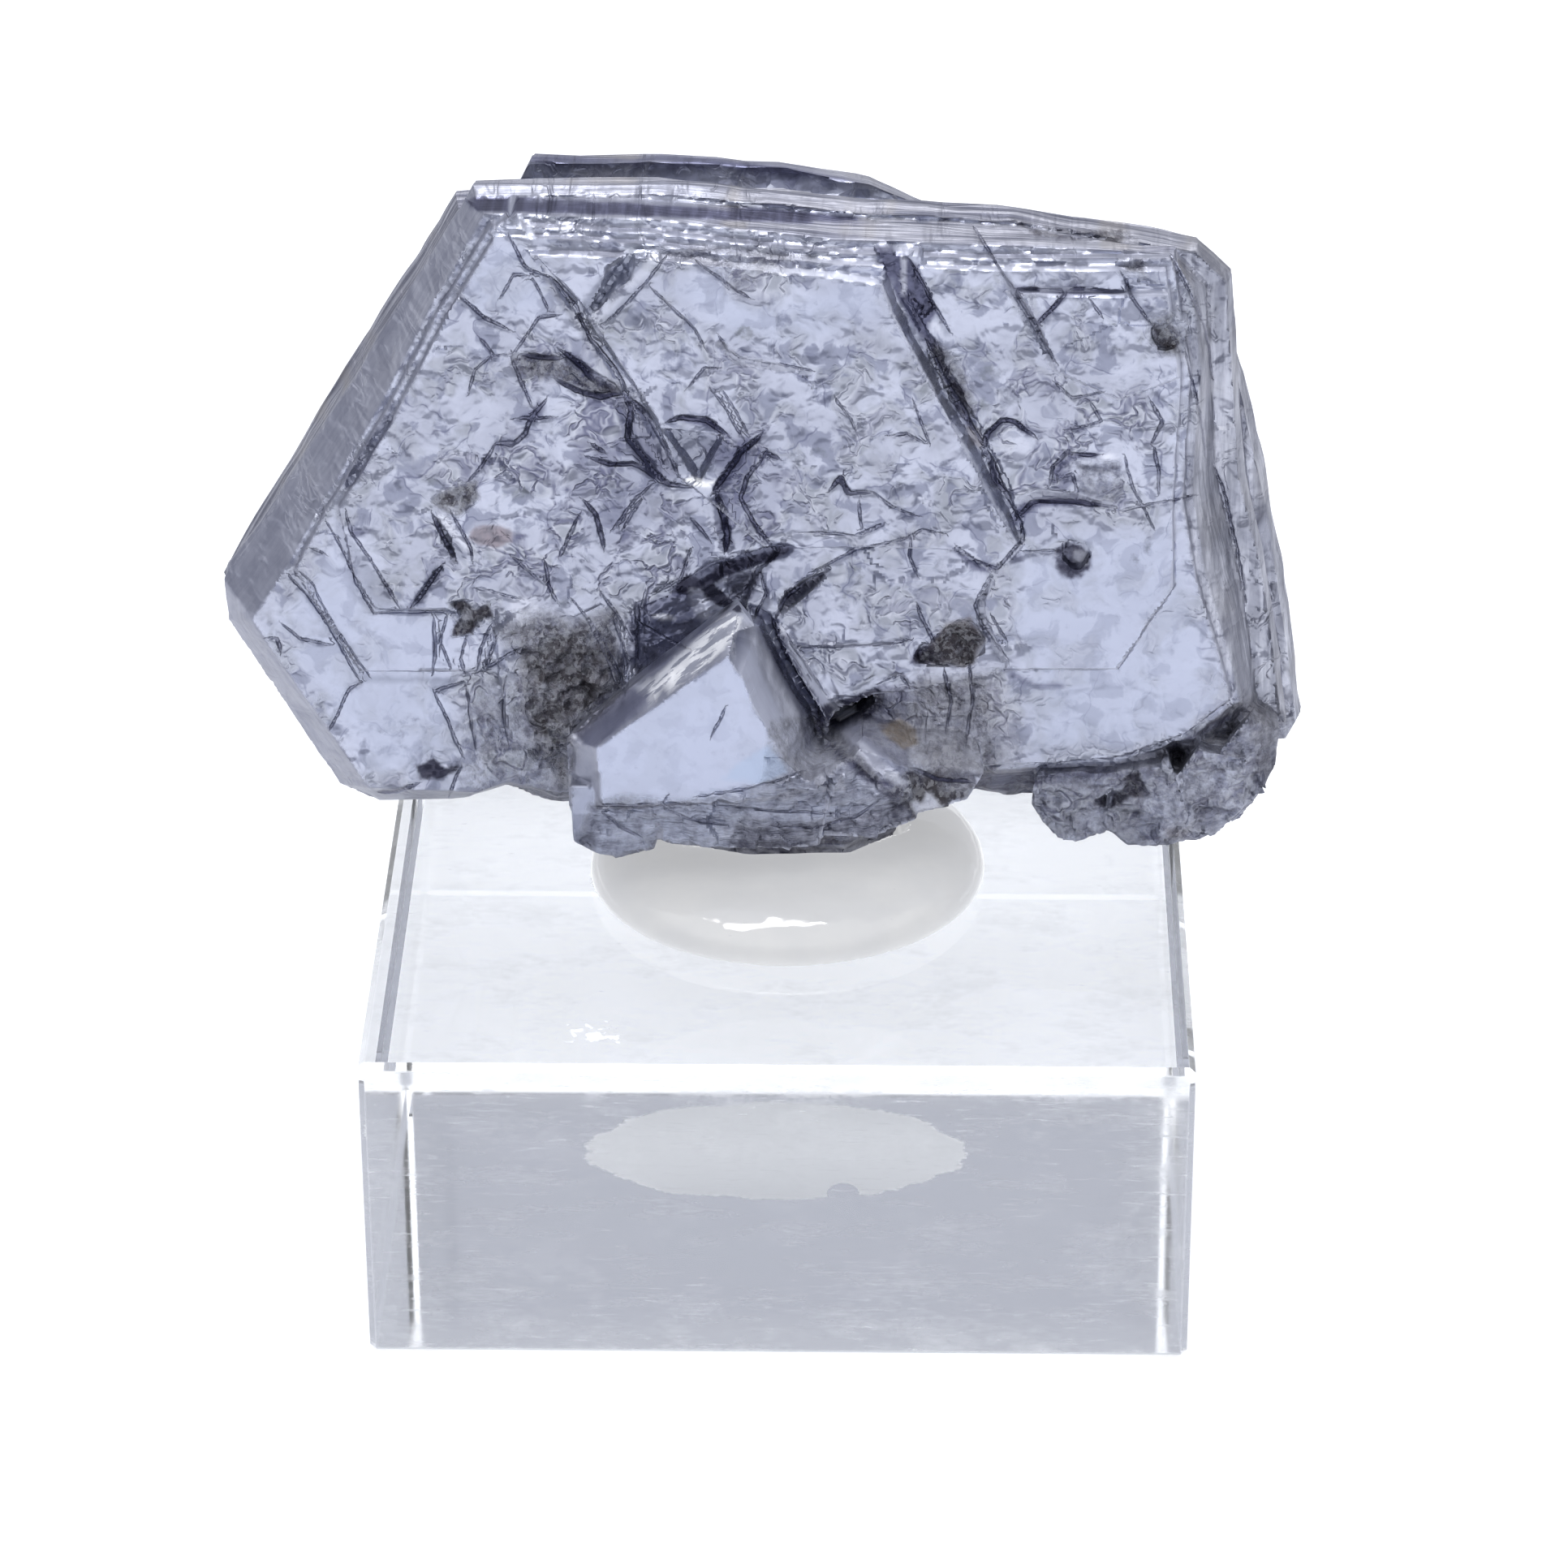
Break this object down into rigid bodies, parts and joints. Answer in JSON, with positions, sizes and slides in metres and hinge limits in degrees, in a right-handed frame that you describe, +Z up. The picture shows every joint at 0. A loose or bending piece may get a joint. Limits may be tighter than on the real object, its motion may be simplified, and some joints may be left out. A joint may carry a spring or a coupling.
{
  "type": "mineral specimen",
  "caption": "Tabular hexagonal molybdenite crystal group pressed into mounting putty on a clear square acrylic block.",
  "frame": {"origin": "centre of the block's underside", "axes": "+Z up, +X along the front of the block to the viewer's right, the broad crystal face looks towards -Y"},
  "size_m": [0.0435, 0.032, 0.0415],
  "materials": {
    "molybdenite": "metallic lustre",
    "putty": "milky translucent",
    "base_block": "polished clear acrylic"
  },
  "bodies": {
    "root": {"molybdenite": "molybdenite", "putty": "putty", "base_block": "base_block"}
  },
  "joints": []
}
